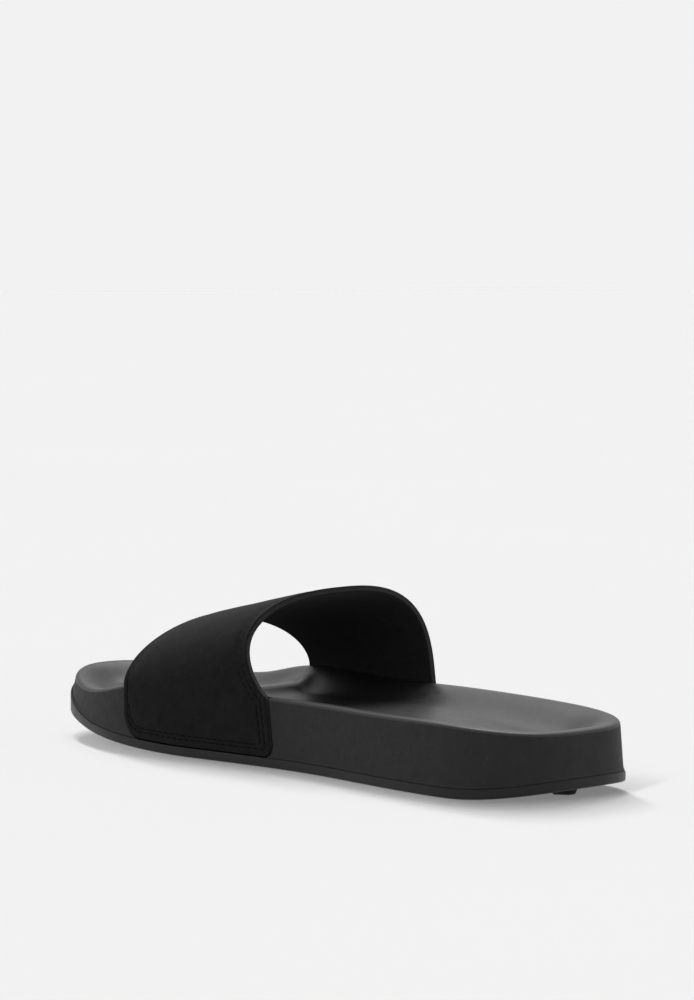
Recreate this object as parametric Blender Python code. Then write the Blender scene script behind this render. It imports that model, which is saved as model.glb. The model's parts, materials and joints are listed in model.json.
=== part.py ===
"""Sport slide sandal for the right foot: rubber outsole, moulded midsole with its footbed, and one strap.

Metres, +X towards the toe, +Y towards the medial (big toe) side, +Z up. The origin is on the floor
under the middle of the shoe.
"""
from collections import namedtuple
import math

import bmesh
import bpy
import numpy as np

# Driving sizes of the sole
LENGTH = 0.280
BALL_WIDTH = 0.0990
HEEL_WIDTH = 0.0797
SOLE_HEIGHT = 0.0321
TOE_SPRING = 0.0100
HEEL_BEVEL = 0.0036
TOE_CURVE = 0.0076

# Outsole
LUG_HEIGHT = 0.0026
BAND_HEIGHT = 0.0038
TOE_BUMPER = 0.0038
BAND_EDGE = 0.0005
LIP = 0.0007
LUG_LENGTH = 0.0085
LUG_WAVE = 0.0030
LUG_TAPER = 0.0012
LUG_ROOT = 0.0010

# Midsole and footbed
RIM_INSET = 0.0020
RIM_ROUND = 0.0025
RIM_WIDTH = 0.0045
CUP_DEPTH = 0.0100
CUP_SLOPE = 0.0200
TOE_BAR_HEIGHT = 0.0030
TOE_BAR_FRONT = 0.0110
TOE_BAR_BACK = 0.0045
TOE_BAR_STATION = 0.706
TOE_BAR_START = 0.05

# Strap
STRAP_WALL = 0.0026
STRAP_PROUD = 0.0007
STRAP_PADDING = 0.0003
STRAP_MARGIN = 0.0050
STRAP_FOOT_LIFT = 0.0005
EDGE_ROUND = 0.0003
FRONT_CORNER = 0.0095
BACK_CORNER = 0.0045
BACK_FLARE = 0.0044
FRONT_TUCK = 0.0016
INSTEP_RISE = 0.0405
BALL_RISE = 0.0257

# Gap between pieces that meet
CLEARANCE = 0.0003

# Fineness of the faceted surfaces
OUTLINE_POINTS = 88
ARCH_STEPS = 30
RING_MERGE = 0.00002
NORMAL_STEP = 0.02
SHARP_ANGLE = 35.0

# Where the spring starts, where the heel bevel ends, and the reach of the round heel and toe ends,
# as shares of the length
SPRING_START = 0.62
BEVEL_END = 0.12
BUMPER_START = 0.92
HEEL_END = 0.146
TOE_END = 0.255
HEEL_ROUNDNESS = 2.69
TOE_ROUNDNESS = 2.25
TOE_CURVE_START = 0.60
SPINE_START = 0.130
SPINE_END = 0.840

# Half widths of the outsole's outer edge, medial and lateral, at stations along the length
OutlineRow = namedtuple("OutlineRow", "station medial lateral")
OUTLINE = (
    OutlineRow(0.00, 0.440 * HEEL_WIDTH, 0.510 * HEEL_WIDTH),
    OutlineRow(0.12, 0.498 * HEEL_WIDTH, 0.502 * HEEL_WIDTH),
    OutlineRow(0.25, 0.500 * HEEL_WIDTH, 0.517 * HEEL_WIDTH),
    OutlineRow(0.40, 0.478 * HEEL_WIDTH, 0.560 * HEEL_WIDTH),
    OutlineRow(0.55, 0.424 * BALL_WIDTH, 0.499 * BALL_WIDTH),
    OutlineRow(0.70, 0.476 * BALL_WIDTH, 0.524 * BALL_WIDTH),
    OutlineRow(0.82, 0.474 * BALL_WIDTH, 0.513 * BALL_WIDTH),
    OutlineRow(0.92, 0.460 * BALL_WIDTH, 0.479 * BALL_WIDTH),
    OutlineRow(1.00, 0.471 * BALL_WIDTH, 0.426 * BALL_WIDTH),
)

# Height of the midsole's rim above the floor, medial and lateral
RimRow = namedtuple("RimRow", "station medial lateral")
RIM = (
    RimRow(0.00, 0.842 * SOLE_HEIGHT, 0.818 * SOLE_HEIGHT),
    RimRow(0.12, 0.917 * SOLE_HEIGHT, 0.912 * SOLE_HEIGHT),
    RimRow(0.25, 0.915 * SOLE_HEIGHT, 0.945 * SOLE_HEIGHT),
    RimRow(0.40, 0.919 * SOLE_HEIGHT, 0.930 * SOLE_HEIGHT),
    RimRow(0.55, 0.945 * SOLE_HEIGHT, 0.893 * SOLE_HEIGHT),
    RimRow(0.66, 0.987 * SOLE_HEIGHT, 0.912 * SOLE_HEIGHT),
    RimRow(0.76, 0.870 * SOLE_HEIGHT, 0.871 * SOLE_HEIGHT),
    RimRow(0.82, 0.765 * SOLE_HEIGHT, 0.760 * SOLE_HEIGHT),
    RimRow(0.92, 0.744 * SOLE_HEIGHT, 0.795 * SOLE_HEIGHT),
    RimRow(1.00, 0.900 * SOLE_HEIGHT, 0.965 * SOLE_HEIGHT),
)

# Depth of the footbed under its rim, and the width of the slope down to it
CupRow = namedtuple("CupRow", "station depth slope")
CUP = (
    CupRow(0.00, 0.82 * CUP_DEPTH, 1.10 * CUP_SLOPE),
    CupRow(0.15, 0.86 * CUP_DEPTH, 1.10 * CUP_SLOPE),
    CupRow(0.30, 0.60 * CUP_DEPTH, 1.10 * CUP_SLOPE),
    CupRow(0.42, 0.56 * CUP_DEPTH, 1.10 * CUP_SLOPE),
    CupRow(0.58, 0.80 * CUP_DEPTH, 0.95 * CUP_SLOPE),
    CupRow(0.70, 0.92 * CUP_DEPTH, 0.85 * CUP_SLOPE),
    CupRow(0.82, 0.50 * CUP_DEPTH, 0.70 * CUP_SLOPE),
    CupRow(0.92, 0.42 * CUP_DEPTH, 0.70 * CUP_SLOPE),
    CupRow(1.00, 0.80 * CUP_DEPTH, 0.90 * CUP_SLOPE),
)

# The strap's front and back edges: place of the feet along the length, how far each side and the crown
# sweep forward as they rise, rise above the rim, roundness of the arch and its lean to the medial side
EdgeRow = namedtuple("EdgeRow", (
    "medial", "lateral", "medial_sweep", "lateral_sweep", "sweep_power",
    "crown", "rise", "roundness", "lean"))
FRONT_EDGE = EdgeRow(0.259 * LENGTH, 0.237 * LENGTH, 0.005 * LENGTH, -0.003 * LENGTH, 0.86,
                     -0.007 * LENGTH, BALL_RISE, 1.79, 0.00)
BACK_EDGE = EdgeRow(-0.0205 * LENGTH, -0.0520 * LENGTH, 0.0935 * LENGTH, 0.0135 * LENGTH, 0.746,
                    -0.0275 * LENGTH, INSTEP_RISE, 2.44, -0.074)

# Bars of the tread: station, how far each bar reaches as a share of the half widths, and its share of
# the zigzag
LugRow = namedtuple("LugRow", "station medial lateral zigzag")
LUGS = (
    LugRow(0.066, -0.18, 0.26, 0.0),
    LugRow(0.141, 0.40, 0.66, 1.0),
    LugRow(0.197, 0.60, 0.78, 1.0),
    LugRow(0.253, 0.60, 0.78, 1.0),
    LugRow(0.309, 0.58, 0.76, 1.0),
    LugRow(0.482, 0.52, 0.72, 1.0),
    LugRow(0.540, 0.58, 0.76, 1.0),
    LugRow(0.598, 0.62, 0.78, 1.0),
    LugRow(0.656, 0.64, 0.80, 1.0),
    LugRow(0.714, 0.64, 0.80, 1.0),
    LugRow(0.772, 0.64, 0.80, 1.0),
    LugRow(0.830, 0.62, 0.78, 1.0),
    LugRow(0.888, 0.56, 0.72, 1.0),
)
LUG_ZIGZAG = (0.0, 0.25, 0.5, 0.75, 1.0)

# The band's profile: distance in from the outer edge, and height from its lower and its upper line
BandRow = namedtuple("BandRow", "inset lift")
BAND_FOOT = (
    BandRow(3.0 * BAND_EDGE, 0.0),
    BandRow(1.0 * BAND_EDGE, 0.3 * BAND_EDGE),
    BandRow(0.0, 1.4 * BAND_EDGE),
)
BAND_HEAD = (
    BandRow(0.0, -0.6 * BAND_EDGE),
    BandRow(0.5 * BAND_EDGE, 0.0),
)

# The midsole's wall, as shares of its height and of its lean
WallRow = namedtuple("WallRow", "height lean")
WALL = (
    WallRow(0.45, 0.35),
    WallRow(0.80, 0.75),
)

# The rim's profile: distance in from the outer edge, and drop below the rim's height
RimPoint = namedtuple("RimPoint", "inset drop")
RIM_PROFILE = (
    RimPoint(RIM_INSET, 0.40 * RIM_ROUND),
    RimPoint(RIM_INSET + 0.35 * RIM_ROUND, 0.10 * RIM_ROUND),
    RimPoint(RIM_INSET + RIM_ROUND, 0.0),
)

# Rings inside the edge as shares of the way to the spine, rings of the footbed as shares of its slope, and
# the most of the way to the spine that the rim and the slope may take
INNER_RINGS = (0.25, 0.6, 1.0)
FOOTBED_RINGS = (0.0, 0.12, 0.28, 0.46, 0.66, 0.86, 1.15)
RIM_REACH = 0.30
SLOPE_REACH = 0.86

# The strap's rows up each foot, its columns in each margin as shares of it, and those between
FOOT_ROWS = (-1.0, -0.86, -0.60, -0.30)
POCKET_ROWS = FOOT_ROWS + (0.0, 0.04, 0.08, 0.12)
MARGIN_COLUMNS = (0.0, 0.25, 0.60, 1.0, 1.6)
MIDDLE_COLUMNS = (0.22, 0.36, 0.50, 0.64, 0.78)
STRAP_WIDTH = FRONT_EDGE.medial - BACK_EDGE.medial


def spline(rows, column):
    """A natural cubic through one column of a table, as a function of the station."""
    xs = np.array([row.station for row in rows])
    ys = np.array([getattr(row, column) for row in rows])
    steps = np.diff(xs)
    count = len(xs)
    system = np.eye(count)
    right = np.zeros(count)
    for i in range(1, count - 1):
        system[i, i - 1] = steps[i - 1]
        system[i, i] = 2.0 * (steps[i - 1] + steps[i])
        system[i, i + 1] = steps[i]
        right[i] = 6.0 * ((ys[i + 1] - ys[i]) / steps[i] - (ys[i] - ys[i - 1]) / steps[i - 1])
    bends = np.linalg.solve(system, right)

    def value(station):
        s = min(max(station, xs[0]), xs[-1])
        i = min(int(np.searchsorted(xs, s, side="right")) - 1, count - 2)
        h = steps[i]
        a = (xs[i + 1] - s) / h
        b = (s - xs[i]) / h
        bend = ((a ** 3 - a) * bends[i] + (b ** 3 - b) * bends[i + 1]) * h * h / 6.0
        return float(a * ys[i] + b * ys[i + 1] + bend)

    return value


MEDIAL_WIDTH = spline(OUTLINE, "medial")
LATERAL_WIDTH = spline(OUTLINE, "lateral")
MEDIAL_RIM = spline(RIM, "medial")
LATERAL_RIM = spline(RIM, "lateral")
FOOTBED_DEPTH = spline(CUP, "depth")
FOOTBED_SLOPE = spline(CUP, "slope")


def clamp(value, low=0.0, high=1.0):
    return min(max(value, low), high)


def smooth(value):
    t = clamp(value)
    return t * t * (3.0 - 2.0 * t)


def mix(a, b, share):
    return a + (b - a) * share


def station_of(x):
    return x / LENGTH + 0.5


def end_share(station):
    """Share of the full half width that the round heel and toe ends leave at a station."""
    share = 1.0
    if station < HEEL_END:
        away = (HEEL_END - station) / HEEL_END
        share = max(1.0 - away ** HEEL_ROUNDNESS, 0.0) ** (1.0 / HEEL_ROUNDNESS)
    if station > 1.0 - TOE_END:
        away = (station - 1.0 + TOE_END) / TOE_END
        share = max(1.0 - away ** TOE_ROUNDNESS, 0.0) ** (1.0 / TOE_ROUNDNESS)
    return share


def reach_from_axis(station, side):
    """Y of the outer edge from the foot's axis at a station; side is 1 for medial and -1 for lateral."""
    s = clamp(station)
    middle = TOE_CURVE * clamp((s - TOE_CURVE_START) / (1.0 - TOE_CURVE_START)) ** 2
    width = MEDIAL_WIDTH(s) - middle if side > 0 else LATERAL_WIDTH(s) + middle
    return middle + side * width * end_share(s)


def axis_offset():
    """Y of the foot's axis that puts the middle of the shoe's width over the origin."""
    stations = [i / OUTLINE_POINTS for i in range(OUTLINE_POINTS + 1)]
    medial = max(reach_from_axis(station, 1) for station in stations)
    lateral = min(reach_from_axis(station, -1) for station in stations)
    return -0.5 * (medial + lateral)


AXIS_Y = axis_offset()


def side_y(station, side):
    """Y of the outer edge at a station; side is 1 for medial and -1 for lateral."""
    return AXIS_Y + reach_from_axis(station, side)


def outline_points():
    """The outsole's outer edge, from the heel along the medial side to the toe and back."""
    points = []
    for i in range(OUTLINE_POINTS):
        angle = 2.0 * math.pi * i / OUTLINE_POINTS
        station = 0.5 - 0.5 * math.cos(angle)
        side = 1.0 if i <= OUTLINE_POINTS // 2 else -1.0
        points.append(((station - 0.5) * LENGTH, side_y(station, side)))
    return points


def spine_point(x):
    """The nearest point of the sole's centre line, which stops short of the round ends."""
    station = clamp(station_of(x), SPINE_START, SPINE_END)
    y = 0.5 * (side_y(station, 1) + side_y(station, -1))
    return (station - 0.5) * LENGTH, y


OUTER_EDGE = outline_points()
SPINE = [spine_point(x) for x, _ in OUTER_EDGE]


def inset_ring(inset, share):
    """The outer edge moved in by a distance, but at most by a share of the way to the spine."""
    ring = []
    for (x, y), (sx, sy) in zip(OUTER_EDGE, SPINE):
        reach = math.hypot(sx - x, sy - y)
        move = min(inset / reach, share)
        ring.append((mix(x, sx, move), mix(y, sy, move)))
    return ring


def band_bottom(x):
    """Height of the outsole's lower edge, without its lugs."""
    s = clamp(station_of(x))
    spring = TOE_SPRING * clamp((s - SPRING_START) / (1.0 - SPRING_START)) ** 2
    bevel = HEEL_BEVEL * clamp((BEVEL_END - s) / BEVEL_END) ** 2
    return LUG_HEIGHT + spring + bevel


def band_top(x):
    """Height of the line between outsole and midsole, which climbs over the toe as a bumper."""
    s = clamp(station_of(x))
    bumper = TOE_BUMPER * clamp((s - BUMPER_START) / (1.0 - BUMPER_START)) ** 2
    return band_bottom(x) + BAND_HEIGHT + bumper


def rim_height(x, y):
    """Height of the surface that the rim lies on, between its medial and lateral sides."""
    s = clamp(station_of(x))
    medial = MEDIAL_WIDTH(s)
    lateral = LATERAL_WIDTH(s)
    share = clamp((y - AXIS_Y + lateral) / (medial + lateral))
    return mix(LATERAL_RIM(s), MEDIAL_RIM(s), share)


def footbed_height(x, y, inset):
    """Height of the footbed at a distance in from the outer edge."""
    s = clamp(station_of(x))
    slope = smooth((inset - RIM_WIDTH) / FOOTBED_SLOPE(s))
    away = (s - TOE_BAR_STATION) * LENGTH
    away /= TOE_BAR_FRONT if away > 0.0 else TOE_BAR_BACK
    bar = TOE_BAR_HEIGHT * math.exp(-away * away) * smooth((slope - TOE_BAR_START) / (1.0 - TOE_BAR_START))
    return rim_height(x, y) - FOOTBED_DEPTH(s) * slope + bar


def closed_loft(name, rings):
    """A closed mesh through rings of equal count; the first and last ring lie on the spine."""
    mesh = bmesh.new()
    layers = [[mesh.verts.new(point) for point in ring] for ring in rings]
    for low, high in zip(layers, layers[1:]):
        count = len(low)
        for i in range(count):
            j = (i + 1) % count
            mesh.faces.new((low[i], low[j], high[j], high[i]))
    bmesh.ops.remove_doubles(mesh, verts=mesh.verts, dist=RING_MERGE)
    return finish_mesh(name, mesh)


def finish_mesh(name, mesh):
    """Turn a bmesh into an object with its faces pointing out."""
    bmesh.ops.recalc_face_normals(mesh, faces=mesh.faces)
    data = bpy.data.meshes.new(name)
    mesh.to_mesh(data)
    mesh.free()
    return bpy.data.objects.new(name, data)


def material(name, colour, roughness):
    finish = bpy.data.materials.new(name)
    finish.use_nodes = True
    shader = finish.node_tree.nodes["Principled BSDF"]
    shader.inputs["Base Color"].default_value = (*colour, 1.0)
    shader.inputs["Roughness"].default_value = roughness
    shader.inputs["Metallic"].default_value = 0.0
    return finish


def add_boolean(target, cutter, operation):
    modifier = target.modifiers.new(cutter.name, "BOOLEAN")
    modifier.object = cutter
    modifier.operation = operation
    modifier.solver = "EXACT"


def hide_cutter(cutter, cutters):
    cutters.objects.link(cutter)
    cutter.hide_render = True
    cutter.display_type = "WIRE"


def level_rings(height, shares):
    """Rings between the outer edge and the spine, on a surface whose height follows the length."""
    return [[(x, y, height(x)) for x, y in inset_ring(LENGTH, share)] for share in shares]


def outsole_rings():
    """Rings of the outsole from the middle of its underside, round its band, to the middle of its top."""
    rings = level_rings(band_bottom, reversed(INNER_RINGS))
    for row in BAND_FOOT:
        rings.append([(x, y, band_bottom(x) + row.lift) for x, y in inset_ring(row.inset, 1.0)])
    for row in BAND_HEAD:
        rings.append([(x, y, band_top(x) + row.lift) for x, y in inset_ring(row.inset, 1.0)])
    return rings + level_rings(band_top, INNER_RINGS)


def lug_loop(row, grow):
    """Outline of one zigzag bar, grown on all sides by a distance."""
    x = (row.station - 0.5) * LENGTH
    medial = AXIS_Y + reach_from_axis(row.station, 1) * row.medial + grow
    lateral = AXIS_Y + reach_from_axis(row.station, -1) * row.lateral - grow
    half_length = 0.5 * LUG_LENGTH + grow
    front = []
    back = []
    for i, share in enumerate(LUG_ZIGZAG):
        wave = 0.5 * LUG_WAVE * row.zigzag * (-1.0) ** i
        y = mix(lateral, medial, share)
        front.append((x + wave + half_length, y))
        back.append((x + wave - half_length, y))
    return front + back[::-1]


def lug(row, index):
    """One zigzag bar of the tread, from its root inside the outsole down to its tread face."""
    loop = lug_loop(row, 0.0)
    mesh = bmesh.new()
    tread = [mesh.verts.new((px, py, band_bottom(px) - LUG_HEIGHT)) for px, py in loop]
    root = [mesh.verts.new((px, py, band_bottom(px) + LUG_ROOT)) for px, py in lug_loop(row, LUG_TAPER)]
    columns = len(LUG_ZIGZAG)
    for i in range(columns - 1):
        j = 2 * columns - 1 - i
        mesh.faces.new((tread[i], tread[i + 1], tread[j - 1], tread[j]))
        mesh.faces.new((root[i], root[i + 1], root[j - 1], root[j]))
    for i in range(len(loop)):
        j = (i + 1) % len(loop)
        mesh.faces.new((tread[i], tread[j], root[j], root[i]))
    return finish_mesh(f"lug_cutter_{index}", mesh)


def build_outsole(parts, cutters):
    outsole = closed_loft("outsole", outsole_rings())
    parts.objects.link(outsole)
    for index, row in enumerate(LUGS):
        bar = lug(row, index)
        hide_cutter(bar, cutters)
        add_boolean(outsole, bar, "UNION")
    outsole.data.materials.append(material("outsole_rubber", (0.018, 0.018, 0.018), 0.62))
    return outsole


def midsole_bottom(x):
    return band_top(x) + CLEARANCE


def midsole_rings():
    """Rings of the midsole from the middle of its underside, up its wall, over the rim to the footbed."""
    rings = level_rings(midsole_bottom, reversed(INNER_RINGS))
    rings.append([(x, y, midsole_bottom(x)) for x, y in inset_ring(LIP, 1.0)])
    for row in WALL:
        ring = inset_ring(mix(LIP, RIM_INSET, row.lean), 1.0)
        top = RIM_PROFILE[0].drop
        rings.append([(x, y, mix(midsole_bottom(x), rim_height(x, y) - top, row.height)) for x, y in ring])
    for point in RIM_PROFILE:
        rings.append([(x, y, rim_height(x, y) - point.drop) for x, y in inset_ring(point.inset, 1.0)])
    return rings + footbed_rings()


def footbed_rings():
    """Rings of the footbed from the inside of the rim to the spine."""
    rings = []
    for step in FOOTBED_RINGS:
        most = mix(RIM_REACH, SLOPE_REACH, step / FOOTBED_RINGS[-1])
        ring = []
        for (x, y), (sx, sy) in zip(OUTER_EDGE, SPINE):
            reach = math.hypot(sx - x, sy - y)
            inset = min(RIM_WIDTH + step * CUP_SLOPE, reach * most)
            px = mix(x, sx, inset / reach)
            py = mix(y, sy, inset / reach)
            ring.append((px, py, footbed_height(px, py, inset)))
        rings.append(ring)
    rings.append([(x, y, footbed_height(x, y, RIM_WIDTH + 2.0 * CUP_SLOPE)) for x, y in SPINE])
    return rings


def build_midsole(parts, cutters):
    midsole = closed_loft("midsole", midsole_rings())
    parts.objects.link(midsole)
    for side, label in ((1, "medial"), (-1, "lateral")):
        pocket = strap_pocket(side, f"pocket_{label}")
        hide_cutter(pocket, cutters)
        add_boolean(midsole, pocket, "DIFFERENCE")
    midsole.data.materials.append(material("midsole_foam", (0.030, 0.030, 0.030), 0.70))
    return midsole


def wall_inset(x, y, z):
    """How far the midsole's wall lies in from the outer edge at a height."""
    low = midsole_bottom(x)
    return mix(LIP, RIM_INSET, clamp((z - low) / (rim_height(x, y) - low)))


def foot_end(side, along, grow):
    """Lower end of the strap at a share from its front to its back edge, with round corners."""
    edge = edge_between(along)
    x = edge.medial if side > 0 else edge.lateral
    front = FRONT_EDGE.medial if side > 0 else FRONT_EDGE.lateral
    back = BACK_EDGE.medial if side > 0 else BACK_EDGE.lateral
    lift = 0.0
    for from_edge, corner in ((front - x, FRONT_CORNER), (x - back, BACK_CORNER)):
        radius = corner + grow
        away = clamp(1.0 - (max(from_edge, 0.0) + grow) / radius)
        lift += radius * (1.0 - math.sqrt(1.0 - away * away))
    return band_top(x) + STRAP_FOOT_LIFT - grow + lift


def edge_between(along):
    """The strap's section a share of the way from its front edge to its back edge."""
    return EdgeRow(*(mix(a, b, along) for a, b in zip(FRONT_EDGE, BACK_EDGE)))


def strap_foot_point(side, along, height, grow):
    """Outer face of the strap beside the sole; height runs from 0 at its lower end to 1 at the rim."""
    base = strap_arch_point(0.0 if side > 0 else math.pi, along)
    x, y, top = base
    z = mix(foot_end(side, along, grow), top, height)
    depth = clamp((top - z) / (top - band_top(x)))
    x -= mix(FRONT_TUCK, BACK_FLARE, smooth(along)) * depth
    y = side_y(station_of(x), side) - side * (wall_inset(x, y, z) - STRAP_PROUD)
    return np.array((x, y, z))


def edge_arch(edge, angle):
    """X, share across and height of one edge of the strap, from medial 0 to lateral pi."""
    power = edge.roundness
    reach = (abs(math.cos(angle)) ** power + math.sin(angle) ** power) ** (-1.0 / power)
    across = math.cos(angle) * reach
    up = math.sin(angle) * reach
    side = 0.5 - 0.5 * across
    x = mix(edge.medial, edge.lateral, side)
    x += mix(edge.medial_sweep, edge.lateral_sweep, side) * up ** edge.sweep_power
    x += edge.crown * (1.0 - across * across)
    rim = rim_height(x, mix(side_y(station_of(x), -1), side_y(station_of(x), 1), 1.0 - side))
    return np.array((x, across, rim + edge.rise * up * (1.0 + edge.lean * across)))


def strap_arch_point(angle, along):
    """Outer face of the strap above the rim; angle runs from 0 at the medial to pi at the lateral side."""
    x, across, z = mix(edge_arch(FRONT_EDGE, angle), edge_arch(BACK_EDGE, angle), along)
    inset = RIM_INSET - STRAP_PROUD
    medial = side_y(station_of(x), 1) - inset
    lateral = side_y(station_of(x), -1) + inset
    y = mix(lateral, medial, 0.5 + 0.5 * across)
    return np.array((x, y, z))


def strap_point(row, along, grow=0.0):
    """Outer face of the strap; row is below 0 on the medial foot, 0 to 1 over the arch, above 1 beyond."""
    if row < 0.0:
        return strap_foot_point(1, along, 1.0 + row, grow)
    if row > 1.0:
        return strap_foot_point(-1, along, 2.0 - row, grow)
    return strap_arch_point(math.pi * row, along)


def strap_normal(row, along):
    """Outward direction of the strap's outer face."""
    low_row = clamp(row - NORMAL_STEP, -1.0, 2.0)
    high_row = clamp(row + NORMAL_STEP, -1.0, 2.0)
    low_along = clamp(along - NORMAL_STEP)
    high_along = clamp(along + NORMAL_STEP)
    across = strap_point(high_row, along) - strap_point(low_row, along)
    back = strap_point(row, high_along) - strap_point(row, low_along)
    normal = np.cross(back, across)
    return normal / np.linalg.norm(normal)


def strap_columns():
    """Shares from the front to the back edge, close together at the margins."""
    margin = [share * STRAP_MARGIN / STRAP_WIDTH for share in MARGIN_COLUMNS]
    return margin + list(MIDDLE_COLUMNS) + [1.0 - share for share in reversed(margin)]


def padding(along):
    """How far the padding lifts the strap's outer face, inside its flat margins."""
    from_edge = min(along, 1.0 - along) * STRAP_WIDTH
    return STRAP_PADDING * smooth((from_edge - 0.6 * STRAP_MARGIN) / STRAP_MARGIN)


def edge_dip(along):
    """How far both faces draw in at the strap's rounded edges."""
    return EDGE_ROUND if along in (0.0, 1.0) else 0.0


def strap_rows():
    arch = [i / ARCH_STEPS for i in range(ARCH_STEPS + 1)]
    return list(FOOT_ROWS) + arch + [1.0 - row for row in reversed(FOOT_ROWS)]


def grid_solid(name, outer, inner):
    """A closed solid between two grids of points of the same size."""
    mesh = bmesh.new()
    top = [[mesh.verts.new(point) for point in row] for row in outer]
    low = [[mesh.verts.new(point) for point in row] for row in inner]
    rows = len(top)
    columns = len(top[0])
    for i in range(rows - 1):
        for j in range(columns - 1):
            mesh.faces.new((top[i][j], top[i + 1][j], top[i + 1][j + 1], top[i][j + 1]))
            mesh.faces.new((low[i][j], low[i][j + 1], low[i + 1][j + 1], low[i + 1][j]))
        for j in (0, columns - 1):
            mesh.faces.new((top[i][j], top[i + 1][j], low[i + 1][j], low[i][j]))
    for j in range(columns - 1):
        for i in (0, rows - 1):
            mesh.faces.new((top[i][j], top[i][j + 1], low[i][j + 1], low[i][j]))
    return finish_mesh(name, mesh)


def strap_pocket(side, name):
    """Cutter for the pocket in the midsole's side that takes one end of the strap."""
    extra = CLEARANCE / STRAP_WIDTH
    columns = [-extra] + strap_columns()[1:-1] + [1.0 + extra]
    reach = 2.0 * STRAP_PROUD + RIM_INSET
    outer = []
    inner = []
    for row in POCKET_ROWS:
        place = row if side > 0 else 1.0 - row
        points = [strap_point(place, along, CLEARANCE) for along in columns]
        normals = [strap_normal(place, clamp(along)) for along in columns]
        outer.append([point + normal * reach for point, normal in zip(points, normals)])
        inner.append([point - normal * (STRAP_WALL + CLEARANCE) for point, normal in zip(points, normals)])
    return grid_solid(name, outer, inner)


def build_strap(parts):
    """The strap as one bent wall, open at the toe, the heel and underneath."""
    outer = []
    inner = []
    for row in strap_rows():
        outer_row = []
        inner_row = []
        for along in strap_columns():
            point = strap_point(row, along)
            normal = strap_normal(row, along)
            outer_row.append(point + normal * (padding(along) - edge_dip(along)))
            inner_row.append(point - normal * (STRAP_WALL - edge_dip(along)))
        outer.append(outer_row)
        inner.append(inner_row)
    strap = grid_solid("strap", outer, inner)
    parts.objects.link(strap)
    strap.data.materials.append(material("strap_fabric", (0.012, 0.012, 0.012), 0.85))
    return strap


def clear_scene():
    for item in list(bpy.data.objects):
        bpy.data.objects.remove(item, do_unlink=True)


def main():
    clear_scene()
    parts = bpy.data.collections.new("slide_sandal")
    cutters = bpy.data.collections.new("cutters")
    bpy.context.scene.collection.children.link(parts)
    bpy.context.scene.collection.children.link(cutters)
    shoe = (build_outsole(parts, cutters), build_midsole(parts, cutters), build_strap(parts))
    for piece in shoe:
        piece.data.shade_smooth()
        piece.data.set_sharp_from_angle(angle=math.radians(SHARP_ANGLE))


main()
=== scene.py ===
"""Looks of the slide sandal: finely shaped sole and strap, their materials, stitching, tread and studio.

Metres, +X towards the toe, +Y towards the medial side, +Z up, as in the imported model.
"""

from collections import namedtuple
import json
import math

import bmesh
import bpy
from mathutils import Matrix, Vector, kdtree, noise
import numpy as np

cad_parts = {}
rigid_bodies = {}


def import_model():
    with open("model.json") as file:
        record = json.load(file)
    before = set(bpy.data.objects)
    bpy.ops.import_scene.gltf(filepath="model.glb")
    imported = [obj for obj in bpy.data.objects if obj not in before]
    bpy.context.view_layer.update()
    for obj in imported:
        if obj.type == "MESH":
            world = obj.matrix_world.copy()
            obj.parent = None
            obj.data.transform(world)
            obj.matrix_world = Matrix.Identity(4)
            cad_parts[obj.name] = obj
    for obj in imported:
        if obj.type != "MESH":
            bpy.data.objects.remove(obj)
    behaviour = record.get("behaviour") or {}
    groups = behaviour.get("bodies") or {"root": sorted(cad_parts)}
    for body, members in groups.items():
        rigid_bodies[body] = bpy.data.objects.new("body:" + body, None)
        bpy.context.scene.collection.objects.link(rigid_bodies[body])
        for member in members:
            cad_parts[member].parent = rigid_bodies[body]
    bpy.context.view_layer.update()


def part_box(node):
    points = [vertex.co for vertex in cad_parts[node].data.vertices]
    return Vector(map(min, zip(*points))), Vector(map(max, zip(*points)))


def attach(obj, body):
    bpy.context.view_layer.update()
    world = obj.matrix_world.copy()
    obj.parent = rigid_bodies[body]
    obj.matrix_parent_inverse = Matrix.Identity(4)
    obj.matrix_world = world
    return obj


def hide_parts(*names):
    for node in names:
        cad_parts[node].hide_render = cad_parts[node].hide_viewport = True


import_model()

# Driving sizes of the sole
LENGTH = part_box("outsole")[1].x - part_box("outsole")[0].x
BALL_WIDTH = 0.0990
HEEL_WIDTH = 0.0797
SOLE_HEIGHT = 0.0321
TOE_SPRING = 0.0100
HEEL_BEVEL = 0.0036
TOE_CURVE = 0.0076

# Outsole
LUG_HEIGHT = 0.0026
BAND_HEIGHT = 0.0038
TOE_BUMPER = 0.0062
BAND_EDGE = 0.0005
BAND_LIP_ROUND = 0.0001
LIP = 0.0007
LUG_LENGTH = 0.0085
LUG_WAVE = 0.0030
LUG_TAPER = 0.0012
LUG_ROOT = 0.0010
LUG_ROUND = 0.0004
RIB_PITCH = 0.0034
RIB_WIDTH = 0.0012
RIB_HEIGHT = 0.0005
RIB_WAVE = 0.0024
RIB_MARGIN = 0.0060

# Midsole and footbed
RIM_INSET = 0.0020
RIM_ROUND = 0.0016
TOE_RIM_ROUND = 0.0027
RIM_WIDTH = 0.0045
CUP_DEPTH = 0.0100
CUP_SLOPE = 0.0200
TOE_BAR_HEIGHT = 0.0030
TOE_BAR_FRONT = 0.0110
TOE_BAR_BACK = 0.0045
TOE_BAR_STATION = 0.706
TOE_BAR_START = 0.05
WALL_FOOT = 0.00030
WALL_FOOT_HEIGHT = 0.0007
WALL_FOOT_SLOPE = 0.0004
WALL_EDGE_ROUND = 0.0001

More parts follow.
